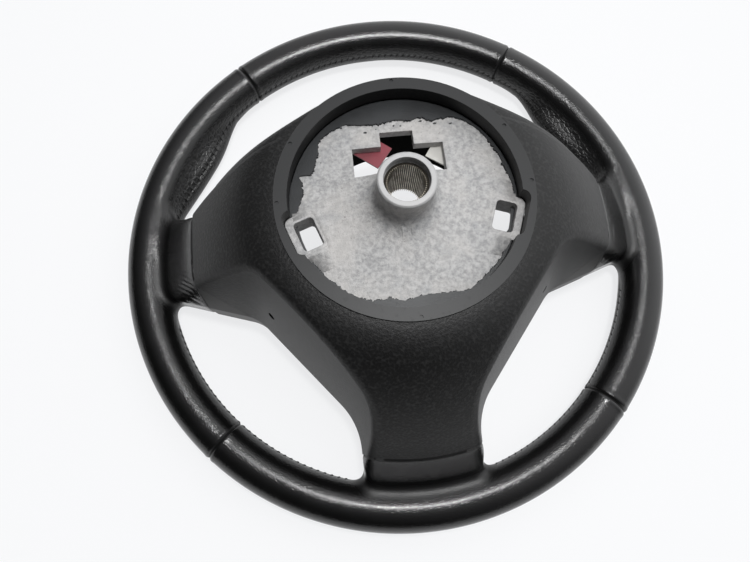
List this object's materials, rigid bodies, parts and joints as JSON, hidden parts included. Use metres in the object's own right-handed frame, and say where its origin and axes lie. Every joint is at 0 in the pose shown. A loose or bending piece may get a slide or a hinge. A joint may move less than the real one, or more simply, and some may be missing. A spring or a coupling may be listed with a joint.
{
  "type": "car steering wheel",
  "caption": "Leather-bound sport steering wheel, airbag removed, lying face down: moulded back cover, cast hub plate and splined boss.",
  "frame": {"origin": "on the column axis, in the plane on which the front of the rim rests", "axes": "+Z along the column axis towards the back of the wheel, which is up; +Y towards twelve o'clock; +X to the right in the picture, where the wheel is seen from behind"},
  "size_m": [0.37, 0.37, 0.1193],
  "materials": {
    "cast_metal": "as cast",
    "spline_steel": "oiled",
    "foam_skin": "satin skin",
    "leather": "fine grain",
    "cover_plastic": "fine moulded grain",
    "trim_plastic": "satin",
    "screw_steel": "zinc plated",
    "spring_steel": "drawn wire",
    "red_film": "plain",
    "pale_film": "plain"
  },
  "bodies": {
    "root": {"armature": "cast_metal", "spline_bush": "spline_steel", "foam_moulding": "foam_skin", "leather_top": "leather", "leather_right": "leather", "leather_bottom": "leather", "leather_left": "leather", "spoke_leather_right": "leather", "spoke_leather_bottom": "leather", "spoke_leather_left": "leather", "back_cover": "cover_plastic", "spoke_trim_right": "trim_plastic", "spoke_trim_bottom": "trim_plastic", "spoke_trim_left": "trim_plastic", "cover_screws": "screw_steel", "airbag_spring_right": "spring_steel", "airbag_spring_left": "spring_steel", "red_tag": "red_film", "pale_tag": "pale_film"}
  },
  "joints": []
}
